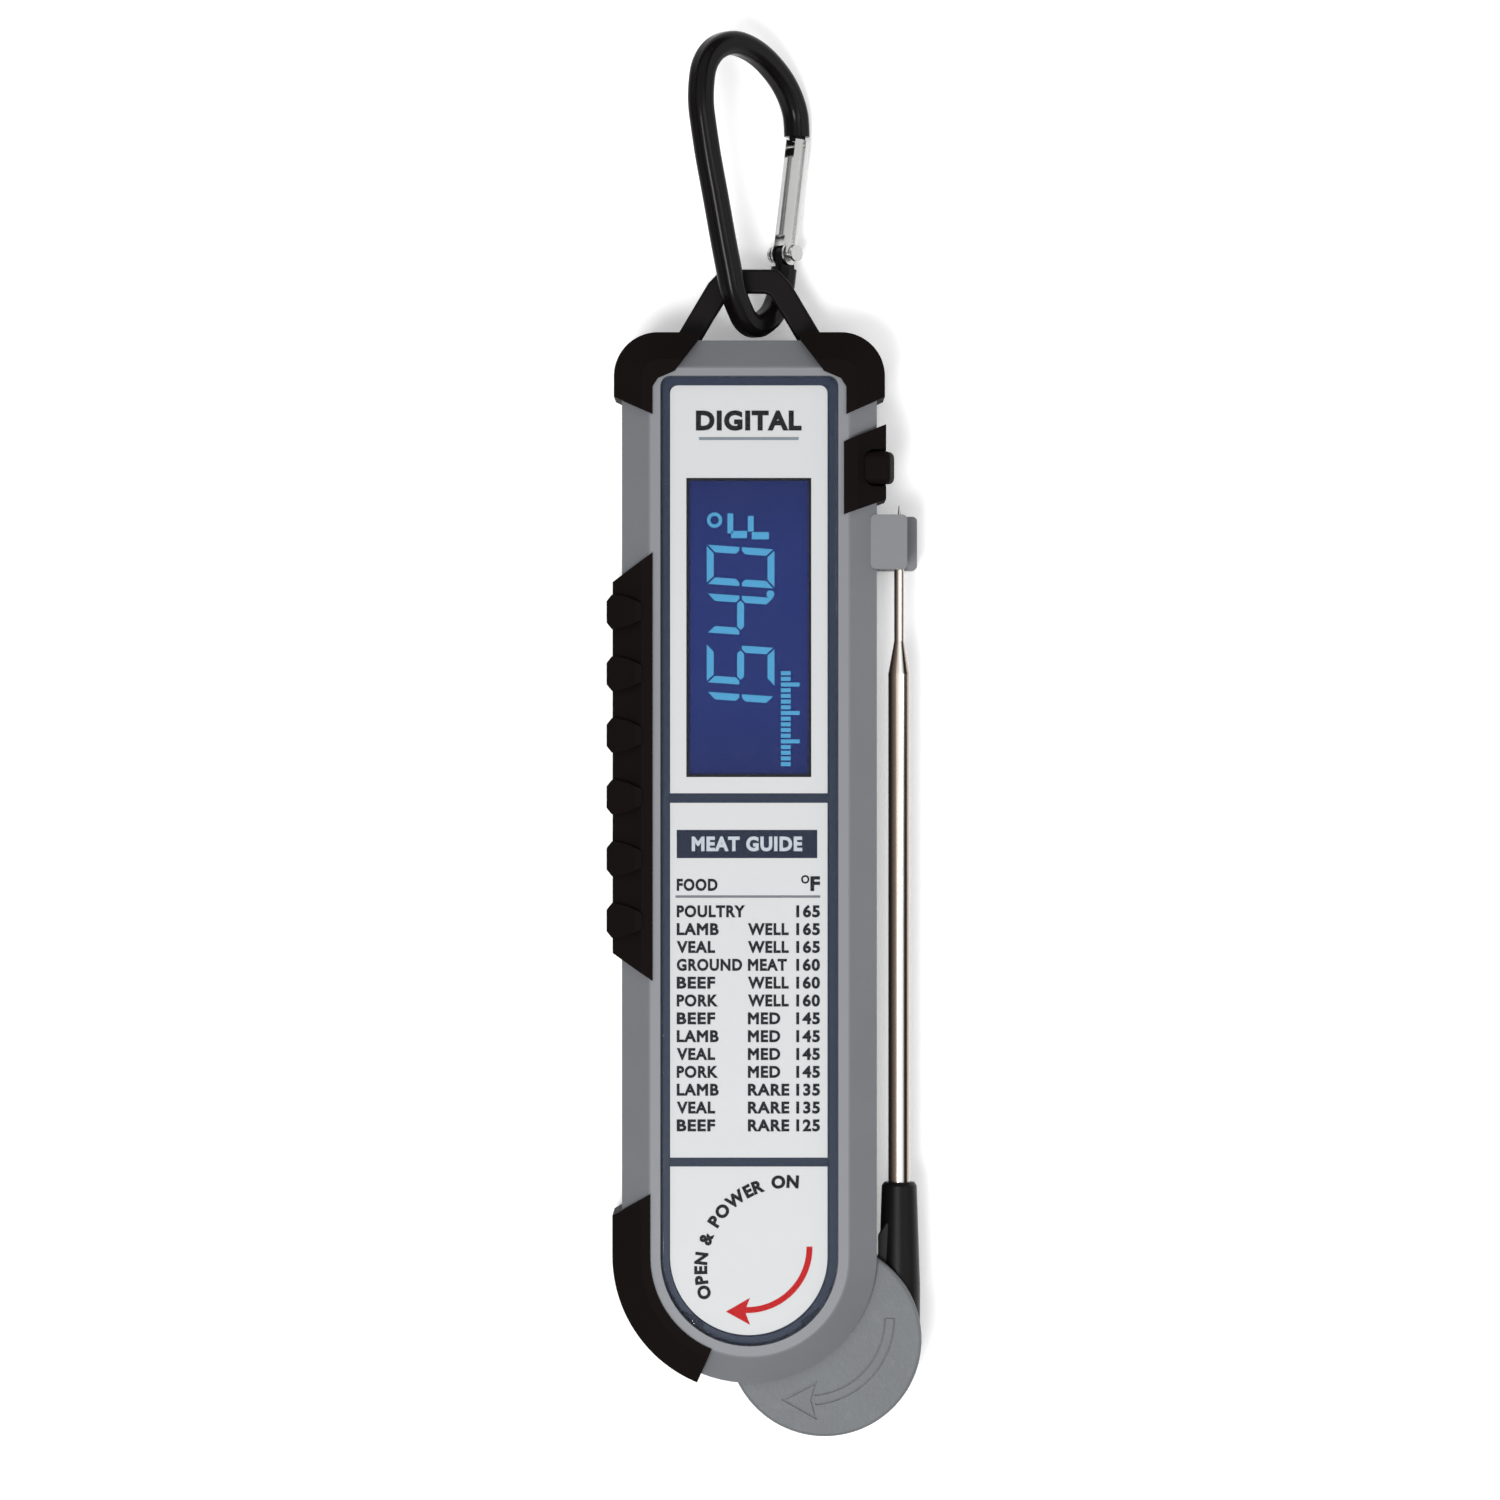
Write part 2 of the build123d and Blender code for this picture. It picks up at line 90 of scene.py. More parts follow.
class Sock:
    # a node's output that can be used in sums; each sum adds its Math node

    def __init__(self, tree, out):
        self.tree = tree
        self.out = out

    def calc(self, operation, first, second=0.0, clampIt=False):
        settings = {"operation": operation, "use_clamp": clampIt}
        return addNode(self.tree, "ShaderNodeMath", settings, n0=first, n1=second)

    def __add__(self, other):
        return self.calc("ADD", self, other)

    def __radd__(self, other):
        return self.calc("ADD", other, self)

    def __sub__(self, other):
        return self.calc("SUBTRACT", self, other)

    def __rsub__(self, other):
        return self.calc("SUBTRACT", other, self)

    def __mul__(self, other):
        return self.calc("MULTIPLY", self, other)

    def __rmul__(self, other):
        return self.calc("MULTIPLY", other, self)

    def __pow__(self, other):
        return self.calc("POWER", self, other)

    def __abs__(self):
        return self.calc("ABSOLUTE", self)

    def held(self):
        # kept between 0 and 1
        return self.calc("ADD", self, clampIt=True)


class Paint:
    # one finish and the nodes it is made of; the sky is one too

    def __init__(self, name, holders=bpy.data.materials):
        self.holder = holders.new(name)
        self.holder.use_nodes = True
        self.tree = self.holder.node_tree
        self.tree.nodes.clear()

    def node(self, kind, settings=None, output=0, **values):
        return addNode(self.tree, kind, settings, output, **values)

    def coordinate(self, which="Object"):
        return self.node("ShaderNodeTexCoord", output=which)

    def axis(self, letter, which="Object"):
        return self.node("ShaderNodeSeparateXYZ", output=letter, n0=self.coordinate(which))

    def stretched(self, scale=(1, 1, 1)):
        return self.node("ShaderNodeMapping", Vector=self.coordinate(), Scale=scale)

    def noise(self, scale, detail=3.0, rough=0.55, stretch=(1, 1, 1)):
        spot = self.stretched(stretch)
        return self.node("ShaderNodeTexNoise", Vector=spot, Scale=scale, Detail=detail, Roughness=rough)

    def cells(self, scale):
        return self.node("ShaderNodeTexVoronoi", Vector=self.stretched(), Scale=scale)

    def ramp(self, value, low, high):
        # 0 at low and 1 at high
        return self.node("ShaderNodeMapRange", n0=value, n1=low, n2=high, n3=0.0, n4=1.0)

    def blend(self, share, first, second):
        return self.node("ShaderNodeMix", {"data_type": "RGBA"}, 2, n0=share, n6=first, n7=second)

    def bump(self, height, depth):
        return self.node("ShaderNodeBump", Strength=1.0, Distance=depth, Height=height)

    def finish(self, shader, end="ShaderNodeOutputMaterial"):
        self.node(end, Surface=shader)
        return self.holder

    def solid(self, color, rough, metallic=0.0, **more):
        more.update(Base_Color=color, Roughness=rough, Metallic=metallic)
        return self.finish(self.node("ShaderNodeBsdfPrincipled", **more))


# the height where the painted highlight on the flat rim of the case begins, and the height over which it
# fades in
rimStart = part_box("front_shell")[1].z - 0.3 * mm
rimBlend = 0.2 * mm

mouldedLooks = {
    # colour, roughness, grain per metre, grain depth in metres, mottling, wear paleness, shine
    "casePlastic": (linear(99, 101, 105), 0.46, 5200, 0.000012, 0.05, 0.08, 0.40),
    "hubPlastic": (linear(92, 95, 98), 0.50, 2600, 0.000090, 0.16, 0.22, 0.40),
    "catchPlastic": (linear(108, 109, 112), 0.48, 5200, 0.000012, 0.05, 0.08, 0.40),
    "rubberBlack": (linear(16, 11, 10), 0.62, 3600, 0.000020, 0.16, 0.08, 0.03),
    "loopNylon": (linear(15, 12, 12), 0.42, 4800, 0.000010, 0.10, 0.10, 0.07),
    "sleevePlastic": (linear(13, 11, 11), 0.40, 5200, 0.000010, 0.10, 0.10, 0.12),
    "frameBlack": (linear(22, 22, 24), 0.50, 5200, 0.000010, 0.08, 0.10, 0.20),
    "chipBlack": (linear(26, 26, 27), 0.55, 8000, 0.000008, 0.10, 0.05, 0.30),
    "lensInk": (linear(44, 52, 68), 0.30, 7000, 0.000004, 0.06, 0.02, 0.10),
    "backingNavy": (linear(32, 41, 58), 0.35, 7000, 0.000004, 0.06, 0.02, 0.10),
    "zebraRubber": (linear(150, 120, 100), 0.60, 6000, 0.000010, 0.10, 0.05, 0.30),
    "lightGuide": (linear(120, 150, 210), 0.25, 3000, 0.000006, 0.06, 0.02, 0.40),
    "ledLens": (linear(225, 230, 235), 0.20, 5000, 0.000004, 0.05, 0.02, 0.50),
    "leadRed": (linear(165, 35, 32), 0.40, 6000, 0.000008, 0.10, 0.05, 0.40),
}


def moulded(name):
    # moulded plastic or rubber: broad mottling and rub marks in the colour, over a grain that is
    # 0.7 of fine noise and 0.3 of small pits; the flat rim of the case, above rimStart, gets a painted
    # highlight, paler colour for the light it faces
    color, rough, scale, depth, mottle, wear, shine = mouldedLooks[name]
    p = Paint(name)
    grain = p.noise(scale, 4.0, 0.6)
    broad = p.noise(90, 3.0, 0.5)
    rubbed = p.ramp(p.noise(420, 5.0, 0.65), 0.56, 0.78)
    tone = p.blend(broad, shade(color, 1 - mottle), shade(color, 1 + mottle))
    tone = p.blend(rubbed * wear, tone, shade(color, 1.5))
    if name == "casePlastic":
        # painted highlight: the flat rim is painted 1.28 times paler than the slopes, for the light it
        # faces
        tone = p.blend(p.ramp(p.axis("Z"), rimStart, rimStart + rimBlend), tone, shade(color, 1.28))
    normal = p.bump(grain * 0.7 + p.cells(scale * 0.45) * 0.3, depth)
    gloss = rough + (broad - 0.5) * 0.10 - rubbed * 0.06 + (grain - 0.5) * 0.08
    return p.solid(tone, gloss, Normal=normal, Specular_IOR_Level=shine)


metalLooks = {
    # colour, roughness, stretch of the drawn lines, line depth in metres
    "screwSteel": (linear(186, 186, 184), 0.32, (1, 1, 1), 0.000006),
    "tinPlate": (linear(190, 190, 186), 0.30, (1, 0.2, 1), 0.000004),
    "cellSteel": (linear(196, 196, 196), 0.18, (0.3, 1, 1), 0.000003),
    "contactMetal": (linear(205, 184, 134), 0.30, (1, 0.3, 1), 0.000004),
    "magnetPlate": (linear(180, 180, 182), 0.25, (1, 1, 1), 0.000004),
    "gateSilver": (linear(188, 188, 187), 0.24, (1, 0.08, 1), 0.000006),
    "springSteel": (linear(170, 169, 166), 0.30, (1, 1, 1), 0.000004),
}


def fineScratches(p):
    # noise drawn out along the part, of which only the peaks are kept
    return p.ramp(p.noise(900, 6.0, 0.75, (1, 0.12, 1)), 0.62, 0.72)


def metal(name):
    # bare metal: fine drawn lines, cloudy handling marks and small scratches
    color, rough, stretch, depth = metalLooks[name]
    p = Paint(name)
    lines = p.noise(3000, 4.0, 0.7, stretch)
    clouds = p.noise(160, 4.0, 0.6)
    scratch = fineScratches(p)
    tone = p.blend(clouds, shade(color, 0.93), shade(color, 1.04))
    tone = p.blend(scratch * 0.25, tone, shade(color, 0.72))
    gloss = rough + (lines - 0.5) * 0.10 + (clouds - 0.5) * 0.08 + scratch * 0.10
    return p.solid(tone, gloss, 1.0, Normal=p.bump(lines + scratch * 0.5, depth))


probeLooks = {
    # each stop is (place, colour); places 0 to 1 stand for -1 to 1 in the X of the surface normal; the
    # stops are painted reflections and shade: dark flanks, a painted highlight line and a dark reflected
    # band
    "stops": (
        (0.0, linear(28, 20, 16)), (0.10, linear(74, 60, 52)), (0.28, linear(168, 148, 132)),
        (0.44, linear(205, 194, 184)), (0.53, linear(250, 248, 245)), (0.62, linear(226, 224, 221)),
        (0.72, linear(52, 47, 43)), (0.79, linear(38, 33, 29)), (0.88, linear(160, 150, 141)),
        (1.0, linear(200, 190, 182)),
    ),
    # the depth of the drawn lines is in metres
    "rough": 0.16, "metallic": 0.75, "drawDepth": 0.000003, "rub": linear(120, 112, 104),
}


def polishedBar():
    # drawn and polished tube: painted shade on the flanks and a painted highlight line along it, set by
    # which way the surface faces, with faint rub marks
    p = Paint("probeSteel")
    round01 = p.axis("X", "Normal") * 0.5 + 0.5
    # painted reflections and shade: the colour follows which way the surface faces across the tube
    paintedReflections = p.node("ShaderNodeValToRGB", {"stops": probeLooks["stops"]}, n0=round01)
    lines = p.noise(3000, 4.0, 0.7, (1, 0.05, 1))
    tone = p.blend(fineScratches(p) * 0.15, paintedReflections, probeLooks["rub"])
    gloss = probeLooks["rough"] + (lines - 0.5) * 0.08
    return p.solid(tone, gloss, probeLooks["metallic"], Normal=p.bump(lines, probeLooks["drawDepth"]))


def anodised():
    # black anodised aluminium: a satin skin with a few paler rubbed spots
    p = Paint("clipBlack")
    color = linear(11, 9, 9)
    fine = p.noise(5000, 3.0, 0.6)
    clouds = p.noise(140, 4.0, 0.6)
    rubs = p.ramp(p.noise(520, 6.0, 0.7, (1, 0.35, 1)), 0.66, 0.76)
    tone = p.blend(clouds, shade(color, 0.8), shade(color, 1.2))
    tone = p.blend(rubs * 0.16, tone, linear(120, 118, 116))
    gloss = 0.22 + (clouds - 0.5) * 0.10 + (fine - 0.5) * 0.06
    return p.solid(tone, gloss, Normal=p.bump(fine, 0.000006), Specular_IOR_Level=0.10)


def paperLabel():
    # white printed film: a faint fibre tone and a slight orange peel
    p = Paint("labelWhite")
    fibre = p.noise(1500, 4.0, 0.6)
    broad = p.noise(60, 2.0, 0.5)
    tone = p.blend(fibre * 0.6 + broad * 0.4, linear(184, 184, 183), linear(191, 191, 190))
    return p.solid(tone, 0.45 + (fibre - 0.5) * 0.12, Normal=p.bump(fibre, 0.000003))


def clearLens():
    # clear window: light goes straight through, and it mirrors by the fifth power of the slant,
    # with faint wipe marks
    p = Paint("lensClear")
    slant = p.node("ShaderNodeLayerWeight", output=1, Blend=0.5)
    wipes = p.ramp(p.noise(240, 5.0, 0.7, (1, 0.3, 1)), 0.45, 0.85)
    mirror = p.node("ShaderNodeBsdfGlossy", Color=(1, 1, 1), Roughness=0.03 + wipes * 0.05)
    through = p.node("ShaderNodeBsdfTransparent", Color=(0.975, 0.98, 0.985))
    share = (0.006 + 0.7 * slant ** 5.0).held()
    return p.finish(p.node("ShaderNodeMixShader", n0=share, n1=through, n2=mirror))


displayLooks = {
    "middle": 39.0, "fadeFrom": 12.0, "fadeTo": 30.0, "lit": linear(24, 38, 94),
    "faded": linear(20, 30, 74), "dotTone": linear(20, 32, 78), "glow": 0.15,
}


def displayBlue():
    # lit blue display: the backlight fades by the distance from its middle, over a fine dot pitch
    p = Paint("displayGlass")
    d = displayLooks
    fade = p.ramp(abs(p.axis("Y") - d["middle"] * mm), d["fadeFrom"] * mm, d["fadeTo"] * mm)
    dots = p.cells(3600)
    broad = p.noise(120, 2.0, 0.5)
    tone = p.blend(broad * 0.3 + dots * 0.15, p.blend(fade, d["lit"], d["faded"]), d["dotTone"])
    more = {"Emission_Color": tone, "Emission_Strength": d["glow"], "Specular_IOR_Level": 0.06}
    return p.solid(tone, 0.22 + broad * 0.1, Normal=p.bump(dots, 0.000002), **more)


def boardGreen():
    # green solder mask over faint copper tracks
    p = Paint("boardGreen")
    tracks = p.node("ShaderNodeTexBrick", output=1, Vector=p.stretched(), Scale=220.0)
    fine = p.noise(2600, 3.0, 0.6)
    tone = p.blend(tracks, linear(16, 84, 48), linear(30, 112, 66))
    return p.solid(tone, 0.34 + (fine - 0.5) * 0.12, Normal=p.bump(tracks + fine * 0.3, 0.00001))


slotPaint = {
    "case_plastic": moulded("casePlastic"), "rubber_black": moulded("rubberBlack"),
    "loop_nylon": moulded("loopNylon"), "hub_plastic": moulded("hubPlastic"),
    "catch_plastic": moulded("catchPlastic"), "sleeve_plastic": moulded("sleevePlastic"),
    "lens_clear": clearLens(), "lens_ink": moulded("lensInk"), "label_white": paperLabel(),
    "backing_navy": moulded("backingNavy"), "display": displayBlue(),
    "backlight_film": moulded("lightGuide"), "frame_black": moulded("frameBlack"),
    "zebra": moulded("zebraRubber"), "board_green": boardGreen(), "chip_black": moulded("chipBlack"),
    "tin_plate": metal("tinPlate"), "led_white": moulded("ledLens"), "screw_steel": metal("screwSteel"),
    "cell_steel": metal("cellSteel"), "contact_metal": metal("contactMetal"),
    "probe_steel": polishedBar(), "wire_red": moulded("leadRed"), "magnet": metal("magnetPlate"),
    "clip_black": anodised(), "gate_silver": metal("gateSilver"), "spring_steel": metal("springSteel"),
}

for part in frame["record"]["subparts"]:
    mesh = frame["nodes"][part["node"]].data
    mesh.materials.clear()
    mesh.materials.append(slotPaint[part["material_slot"]])
print("finishes on", len(frame["nodes"]), "nodes")


def inkPaint(name, color, rough=0.45, glow=0.0):
    # screen-printed ink with a slightly uneven lay
    p = Paint(name)
    lay = p.noise(1800, 3.0, 0.6)
    tone = p.blend(lay, shade(color, 0.88), shade(color, 1.1))
    more = {"Emission_Color": tone, "Emission_Strength": glow} if glow else {}
    gloss = rough + (lay - 0.5) * 0.15
    return p.solid(tone, gloss, Normal=p.bump(lay, 0.000003), Specular_IOR_Level=0.06, **more)


def addPiece(name, mesh, paint, body="case"):
    # a printed piece, which rides on its body
    mesh.materials.clear()
    mesh.materials.append(paint)
    piece = bpy.data.objects.new(name, mesh)
    bpy.context.scene.collection.objects.link(piece)
    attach(piece, body)


def plates(name, outlines, low, high, paint):
    # each outline, a closed loop of plan points, becomes a thin plate from low to high:
    # the loop at both heights, a cap on each and a wall between them
    rings, faces, base = [], [], 0
    for outline in outlines:
        ring = np.asarray(outline, float)
        ahead = np.roll(ring, -1, axis=0)
        if np.sum(ring[:, 0] * ahead[:, 1] - ahead[:, 0] * ring[:, 1]) < 0:
            ring = ring[::-1]
        count = len(ring)
        rings += [np.column_stack([ring, np.full(count, height)]) for height in (low, high)]
        here = base + np.arange(count)
        after = np.roll(here, -1)
        faces += [here[::-1].tolist(), (here + count).tolist()]
        faces += np.stack([here, after, after + count, here + count], axis=1).tolist()
        base += 2 * count
    mesh = bpy.data.meshes.new(name)
    mesh.from_pydata((np.concatenate(rings) * mm).tolist(), [], faces)
    addPiece(name, mesh, paint)


def glyphs(words, bold, spacing=1.0):
    # some words as a slab mesh, with its points as an array; bold grows the outline
    curve = bpy.data.curves.new("words", "FONT")
    curve.body = words
    curve.bevel_depth = bold
    curve.bevel_resolution = 0
    curve.extrude = 0.01
    curve.resolution_u = 4
    curve.space_character = spacing
    holder = bpy.data.objects.new("words", curve)
    bpy.context.scene.collection.objects.link(holder)
    bpy.context.view_layer.update()
    graph = bpy.context.evaluated_depsgraph_get()
    mesh = bpy.data.meshes.new_from_object(holder.evaluated_get(graph))
    bpy.data.objects.remove(holder)
    spots = np.zeros(len(mesh.vertices) * 3)
    mesh.vertices.foreach_get("co", spots)
    return mesh, spots.reshape(-1, 3)


capHeight = float(np.ptp(glyphs("H", 0.0)[1][:, 1]))
letterSpacing = 1.12
inkThick = 0.05


def lettering(name, lines, low, paint):
    # lines of (words, x, y, capital height, width or 0, side, turn, bold), where side is left,
    # right or middle; each is scaled, turned about (x, y) and pressed into a flat slab
    whole = bmesh.new()
    for words, x, y, tall, wide, side, turn, bold in lines:
        mesh, spots = glyphs(words, bold, letterSpacing)
        size = tall / capHeight
        left, right = spots[:, 0].min(), spots[:, 0].max()
        across = wide / (right - left) if wide else size
        shift = {"left": left, "right": right, "middle": (left + right) / 2}[side]
        px, py = (spots[:, 0] - shift) * across, spots[:, 1] * size
        c, s = math.cos(math.radians(turn)), math.sin(math.radians(turn))
        height = np.where(spots[:, 2] > 0, low + inkThick, low)
        moved = np.stack([x + px * c - py * s, y + px * s + py * c, height], axis=1) * mm
        mesh.vertices.foreach_set("co", moved.ravel())
        mesh.update()
        whole.from_mesh(mesh)
        bpy.data.meshes.remove(mesh)
    bmesh.ops.remove_doubles(whole, verts=whole.verts, dist=1e-7)
    mesh = bpy.data.meshes.new(name)
    whole.to_mesh(mesh)
    whole.free()
    mesh.polygons.foreach_set("use_smooth", np.zeros(len(mesh.polygons), bool))
    addPiece(name, mesh, paint)


def bar(x0, x1, y0, y1):
    return [(x0, y0), (x1, y0), (x1, y1), (x0, y1)]


def arcBand(x, y, inner, outer, start, stop, steps=28):
    # a band between two radii about (x, y), from one angle to the other
    turns = np.radians(np.linspace(start, stop, steps))
    way = np.stack([np.cos(turns), np.sin(turns)], 1)
    return np.concatenate([(x, y) + outer * way, ((x, y) + inner * way)[::-1]])


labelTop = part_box("label_chart")[1].z / mm
inkDark = inkPaint("inkDark", linear(24, 24, 30))
inkBlack = inkPaint("inkBlack", linear(20, 20, 24))
inkRed = inkPaint("inkRed", linear(172, 16, 20))
inkGrey = inkPaint("inkGrey", linear(118, 125, 132))
inkNavy = inkPaint("inkNavy", linear(30, 37, 54))
inkPale = inkPaint("inkPale", linear(178, 184, 190))
inkRule = inkPaint("inkRule", linear(110, 112, 118))

chart = {
    "left": -12.1, "middle": -0.25, "right": 11.75, "firstRow": -9.15, "pitch": 2.97,
    "tall": 1.78, "bold": 0.042, "headRow": -4.75, "headTall": 1.8, "headWide": 6.8,
    "unitTall": 2.2, "unitWide": 1.6, "ringSpot": (9.3, -3.6), "ringTall": 2.0, "ringWide": 1.4,
    "ringBold": 0.01, "rule": (-12.3, 11.8, -6.0, -5.6),
    "rows": "POULTRY,,165|LAMB,WELL,165|VEAL,WELL,165|GROUND,MEAT,160|BEEF,WELL,160|PORK,WELL,160"
            "|BEEF,MED,145|LAMB,MED,145|VEAL,MED,145|PORK,MED,145|LAMB,RARE,135|VEAL,RARE,135"
            "|BEEF,RARE,125",
    "widths": {"POULTRY": 11.4, "GROUND": 10.9, "LAMB": 7.0, "VEAL": 6.4, "BEEF": 6.4, "PORK": 6.9,
               "WELL": 6.8, "MEAT": 6.5, "MED": 5.4, "RARE": 6.9, "number": 3.95},
}


def chartLines():
    # a heading, the degree sign, then a food, how well it is done and its temperature in each row
    c = chart
    lines = [("FOOD", c["left"], c["headRow"], c["headTall"], c["headWide"], "left", 0, c["bold"])]
    lines.append(("F", c["right"], c["headRow"], c["unitTall"], c["unitWide"], "right", 0, c["bold"]))
    lines.append(("o", *c["ringSpot"], c["ringTall"], c["ringWide"], "middle", 0, c["ringBold"]))
    columns = ((c["left"], "left"), (c["middle"], "left"), (c["right"], "right"))
    for count, row in enumerate(c["rows"].split("|")):
        y = c["firstRow"] - c["pitch"] * count
        for word, (x, side) in zip(row.split(","), columns):
            if word:
                wide = c["widths"].get(word, c["widths"]["number"])
                lines.append((word, x, y, c["tall"], wide, side, 0, c["bold"]))
    return lines


lettering("chart_text", chartLines(), labelTop, inkDark)
plates("chart_rule", [bar(*chart["rule"])], labelTop, labelTop + inkThick, inkRule)

banner = {
    "bar": (-12.1, 11.3, 0.6, 5.3), "thick": 0.03,
    "line": ("MEAT GUIDE", -0.4, 1.9, 2.15, 18.4, "middle", 0, 0.045),
}
bannerTop = labelTop + banner["thick"]
plates("guide_banner", [bar(*banner["bar"])], labelTop, bannerTop, inkNavy)
lettering("banner_text", [banner["line"]], bannerTop, inkPale)

title = {"line": ("DIGITAL", -0.1, 72.0, 2.9, 17.6, "middle", 0, 0.05), "rule": (-8.4, 8.2, 70.2, 70.7)}
lettering("title_text", [title["line"]], labelTop, inkBlack)
plates("title_rule", [bar(*title["rule"])], labelTop, labelTop + inkThick, inkGrey)
print("labels printed")

openHint = {
    "x": 6.4, "y": -67.75, "radius": 13.55, "start": 195.8, "stop": 86.8,
    "tall": 1.9, "gap": 0.5, "space": 0.75, "bold": 0.05, "words": "OPEN & POWER ON",
}


def hintLines():
    # letters set along an arc by their own widths, each turned to stand on it
    h = openHint
    size = h["tall"] / capHeight
    widths = []
    for letter in h["words"]:
        own = 0.0 if letter == " " else float(np.ptp(glyphs(letter, 0.0)[1][:, 0]))
        widths.append(h["space"] if letter == " " else own * size)
    middles = np.cumsum(widths) + h["gap"] * np.arange(len(widths)) - np.array(widths) / 2
    share = (middles - middles[0]) / (middles[-1] - middles[0])
    lines = []
    for letter, turn in zip(h["words"], h["start"] + (h["stop"] - h["start"]) * share):
        if letter != " ":
            c, s = math.cos(math.radians(turn)), math.sin(math.radians(turn))
            x, y = h["x"] + h["radius"] * c, h["y"] + h["radius"] * s
            lines.append((letter, x, y, h["tall"], 0, "middle", turn - 90, h["bold"]))
    return lines


lettering("hint_text", hintLines(), labelTop, inkBlack)

hintArrow = {
    "x": -0.4, "y": -64.25, "inner": 9.9, "outer": 10.9, "start": 1.0, "stop": -93.0, "thick": 0.04,
    "head": [(-3.9, -74.9), (0.1, -77.1), (-0.75, -74.8), (0.1, -72.6)],
}
shaft = arcBand(*[hintArrow[key] for key in ("x", "y", "inner", "outer", "start", "stop")])
plates("hint_arrow", [shaft], labelTop, labelTop + hintArrow["thick"], inkRed)
plates("hint_arrow_head", [hintArrow["head"]], labelTop, labelTop + inkThick, inkRed)
print("opening hint printed")

digits = {
    # each digit lies on its side: its top and low edges across the case, and its far end along it
    "top": -7.1, "low": 4.17, "wide": 6.5, "stroke": 1.15, "gap": 0.22, "slant": 0.07,
    "ends": {"0": 52.4, "4": 44.3, "5": 36.0, "1": 27.9},
    "lit": {"0": "abcdef", "4": "bcfg", "5": "acdfg", "1": "bc"},
}
signs = {
    "point": (3.5, 44.55, 0.0001, 0.65, 0, 359.9),
    "degree": (-5.8, 56.9, 0.72, 1.27, 0, 359.0),
    "unit": ((-3.65, -2.7, 54.7, 58.0), (-0.25, 0.7, 55.0, 57.6),
             (-3.05, -0.4, 53.9, 55.1), (0.4, 3.25, 53.7, 54.9)),
    "ticks": 17, "longTicks": (3, 8, 13), "firstTick": 31.4, "tickPitch": 0.947, "tickHalf": 0.33,
    "tickFoot": 5.25, "shortEnd": 6.87, "longEnd": 8.37, "thick": 0.04,
}
window = {"left": -10.5, "right": 10.3, "low": 14.1, "high": 63.9, "edge": 0.45, "lip": 0.02}
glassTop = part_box("lcd_glass")[1].z / mm
glowBlue = inkPaint("glowBlue", linear(62, 128, 164), 0.5, 0.35)


def digitSegments(digit):
    # seven slanted strokes; u runs along the case, v down the digit, and the top leans towards +u
    d = digits
    s, g, w = d["stroke"], d["gap"], d["wide"]
    high = d["low"] - d["top"]
    half = high / 2
    loops = {
        "a": [(g, 0), (w - g, 0), (w - s - g, s), (s + g, s)],
        "d": [(g, high), (w - g, high), (w - s - g, high - s), (s + g, high - s)],
        "g": [(s / 2 + g, half), (s + g, half - s / 2), (w - s - g, half - s / 2),
              (w - s / 2 - g, half), (w - s - g, half + s / 2), (s + g, half + s / 2)],
        "f": [(0, g), (s, s + g), (s, half - s / 2 - g), (s / 2, half - g), (0, half - g)],
        "e": [(0, high - g), (s, high - s - g), (s, half + s / 2 + g), (s / 2, half + g), (0, half + g)],
        "b": [(w, g), (w - s, s + g), (w - s, half - s / 2 - g), (w - s / 2, half - g), (w, half - g)],
        "c": [(w, high - g), (w - s, high - s - g), (w - s, half + s / 2 + g),
              (w - s / 2, half + g), (w, half + g)],
    }
    start = d["ends"][digit] - w
    made = []
    for key in d["lit"][digit]:
        made.append([(d["top"] + v, start + u + d["slant"] * (half - v)) for u, v in loops[key]])
    return made


def displaySegments():
    # the digits, the point, the degree ring, the unit and the bar scale
    g = signs
    loops = [loop for digit in "1540" for loop in digitSegments(digit)]
    loops += [arcBand(*g["point"]), arcBand(*g["degree"])]
    loops += [bar(*strip) for strip in g["unit"]]
    for k in range(g["ticks"]):
        y = g["firstTick"] - g["tickPitch"] * k
        end = g["longEnd"] if k + 1 in g["longTicks"] else g["shortEnd"]
        loops.append(bar(g["tickFoot"], end, y - g["tickHalf"], y + g["tickHalf"]))
    return loops


def windowEdge():
    # four black strips round the inside of the display window
    w = window
    inLow, inHigh = w["low"] + w["edge"], w["high"] - w["edge"]
    strips = [bar(w["left"], w["right"], inHigh, w["high"]), bar(w["left"], w["right"], w["low"], inLow)]
    strips.append(bar(w["left"], w["left"] + w["edge"], inLow, inHigh))
    strips.append(bar(w["right"] - w["edge"], w["right"], inLow, inHigh))
    return strips


inkTop = glassTop + signs["thick"]
plates("display_segments", displaySegments(), glassTop, inkTop, glowBlue)
plates("display_edge", windowEdge(), glassTop, labelTop + window["lip"], inkBlack)
print("display drawn")

studio = {
    # metres and watts
    "floorHalf": 1.6, "floorDrop": 0.00005, "floorTone": (0.97, 0.97, 0.97), "floorGlow": 0.16,
    "sky": 1.02, "skyLow": 0.16, "skyFrom": 0.35, "skyRise": 3.0,
    "keyPower": 10.5, "keySize": 0.38, "keySpot": (-0.26, -0.34, 1.22),
    "stripPower": 1.6, "stripSize": (0.12, 0.9), "stripSpot": (0.75, 0.1, 0.55),
    "lightTarget": (0, 0.02, 0), "cameraSpot": (0.0001, 0.0186, 0.955), "lens": 135.0,
}


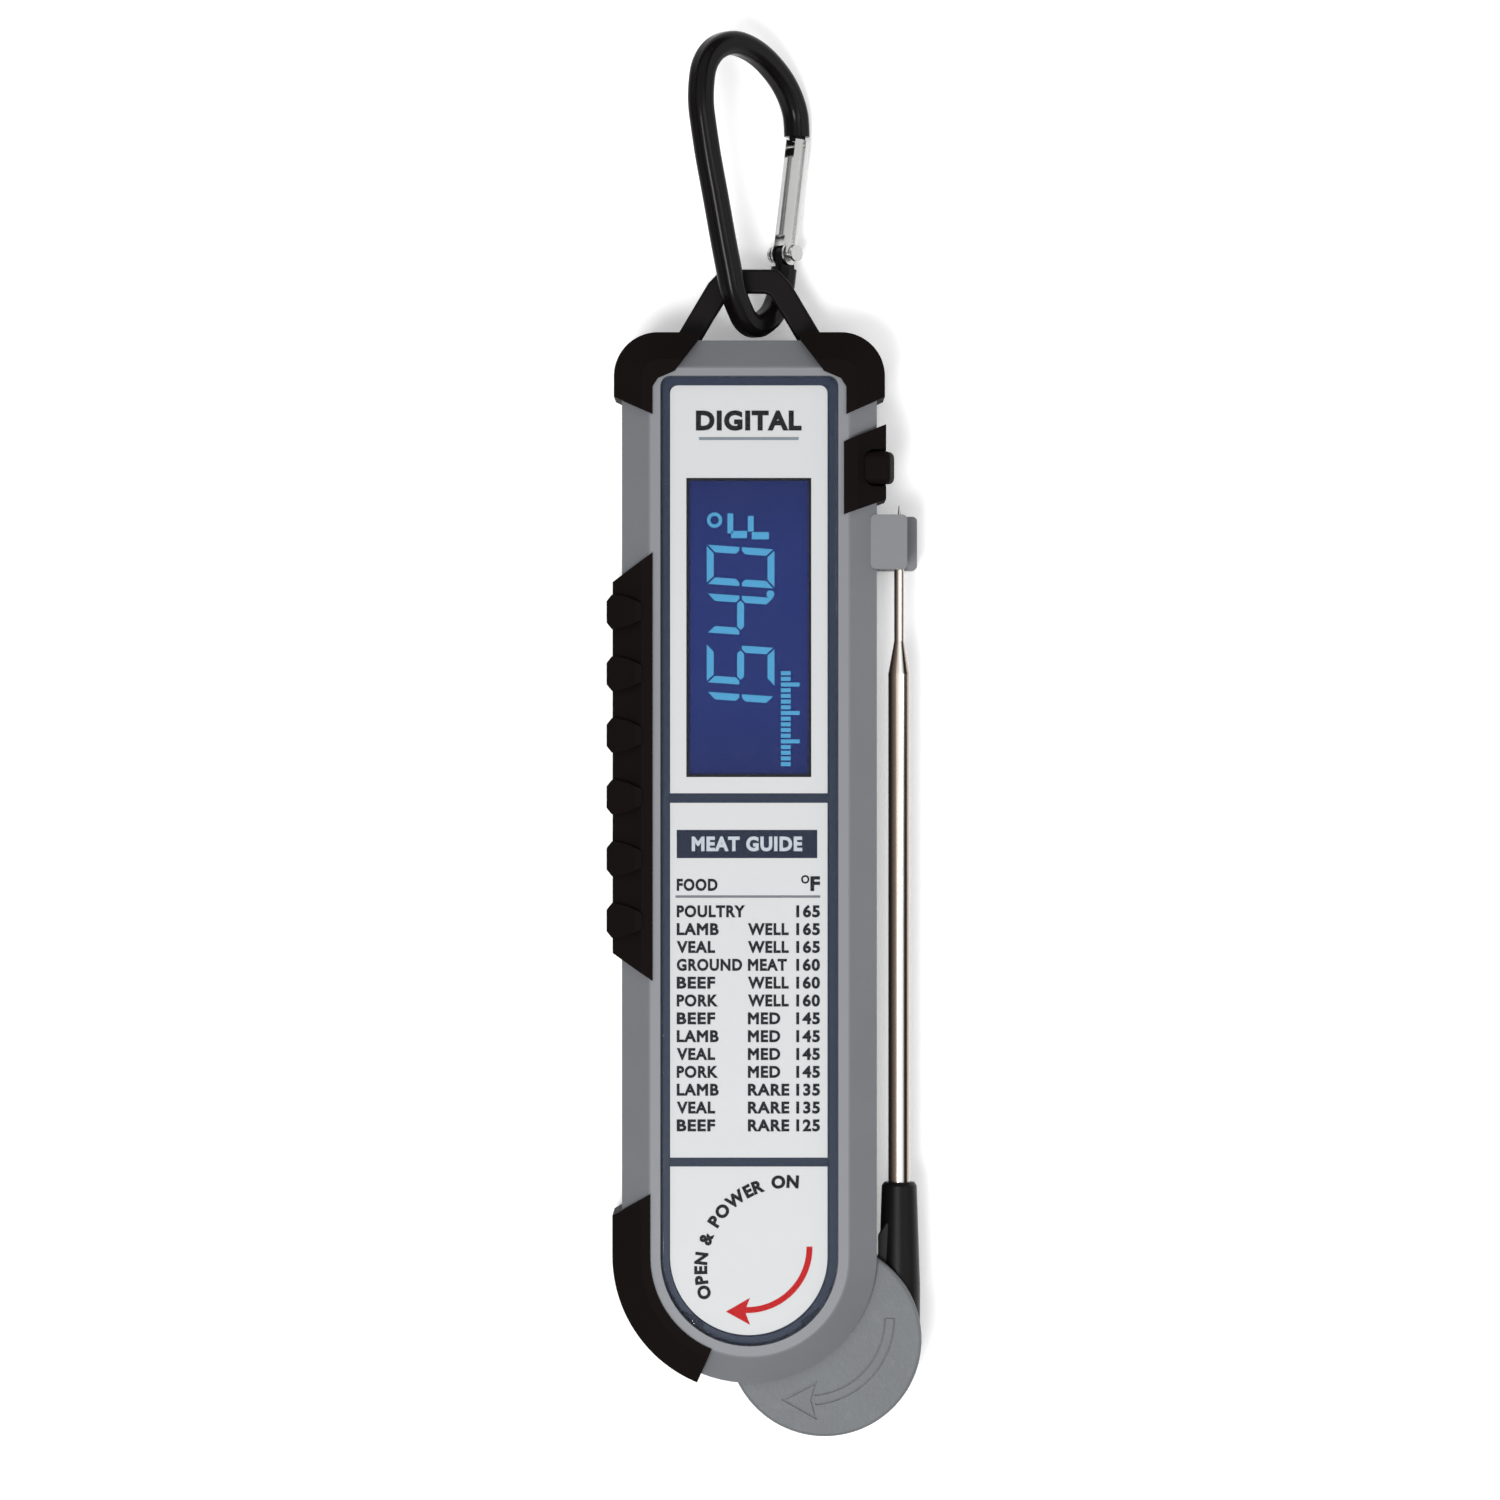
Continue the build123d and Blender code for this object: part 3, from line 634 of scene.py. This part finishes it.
def makeFloor():
    half, low = studio["floorHalf"], -studio["floorDrop"]
    corners = [(-half, -half, low), (half, -half, low), (half, half, low), (-half, half, low)]
    mesh = bpy.data.meshes.new("floor")
    mesh.from_pydata(corners, [], [(0, 1, 2, 3)])
    p = Paint("floorWhite")
    tone = p.blend(p.noise(6, 2.0), shade(studio["floorTone"], 0.995), studio["floorTone"])
    mesh.materials.append(p.solid(tone, 0.9, Emission_Color=tone, Emission_Strength=studio["floorGlow"]))
    floor = bpy.data.objects.new("floor", mesh)
    bpy.context.scene.collection.objects.link(floor)


def makeLight(name, spot, power, size, tall=None):
    # a soft square or rectangular lamp that points at the target
    lamp = bpy.data.lights.new(name, "AREA")
    lamp.energy = power
    lamp.size = size
    if tall:
        lamp.shape = "RECTANGLE"
        lamp.size_y = tall
    thing = bpy.data.objects.new(name, lamp)
    bpy.context.scene.collection.objects.link(thing)
    away = [s - t for s, t in zip(spot, studio["lightTarget"])]
    tip = math.atan2(math.hypot(away[0], away[1]), away[2])
    thing.location = spot
    thing.rotation_euler = (tip, 0, math.atan2(away[1], away[0]) + math.pi / 2)


def makeSky():
    # bright overhead and dim towards the horizon, so that round metal shows dark edges;
    # seen directly, the backdrop is plain white
    p = Paint("studioSky", bpy.data.worlds)
    rise = ((p.axis("Z", "Generated") - studio["skyFrom"]) * studio["skyRise"]).held()
    strength = studio["skyLow"] + (studio["sky"] - studio["skyLow"]) * rise
    direct = p.node("ShaderNodeLightPath", output="Is Camera Ray")
    strength = strength + (1.0 - strength) * direct
    light = p.node("ShaderNodeBackground", Color=(1, 1, 1), Strength=strength)
    bpy.context.scene.world = p.finish(light, "ShaderNodeOutputWorld")


def makeCamera():
    view = bpy.data.cameras.new("view")
    view.lens = studio["lens"]
    view.clip_start = 0.01
    camera = bpy.data.objects.new("view", view)
    bpy.context.scene.collection.objects.link(camera)
    camera.location = studio["cameraSpot"]
    bpy.context.scene.camera = camera


makeFloor()
makeSky()
makeLight("key", studio["keySpot"], studio["keyPower"], studio["keySize"])
makeLight("strip", studio["stripSpot"], studio["stripPower"], *studio["stripSize"])
makeCamera()
bpy.context.scene.view_settings.view_transform = "Standard"
print("studio ready")
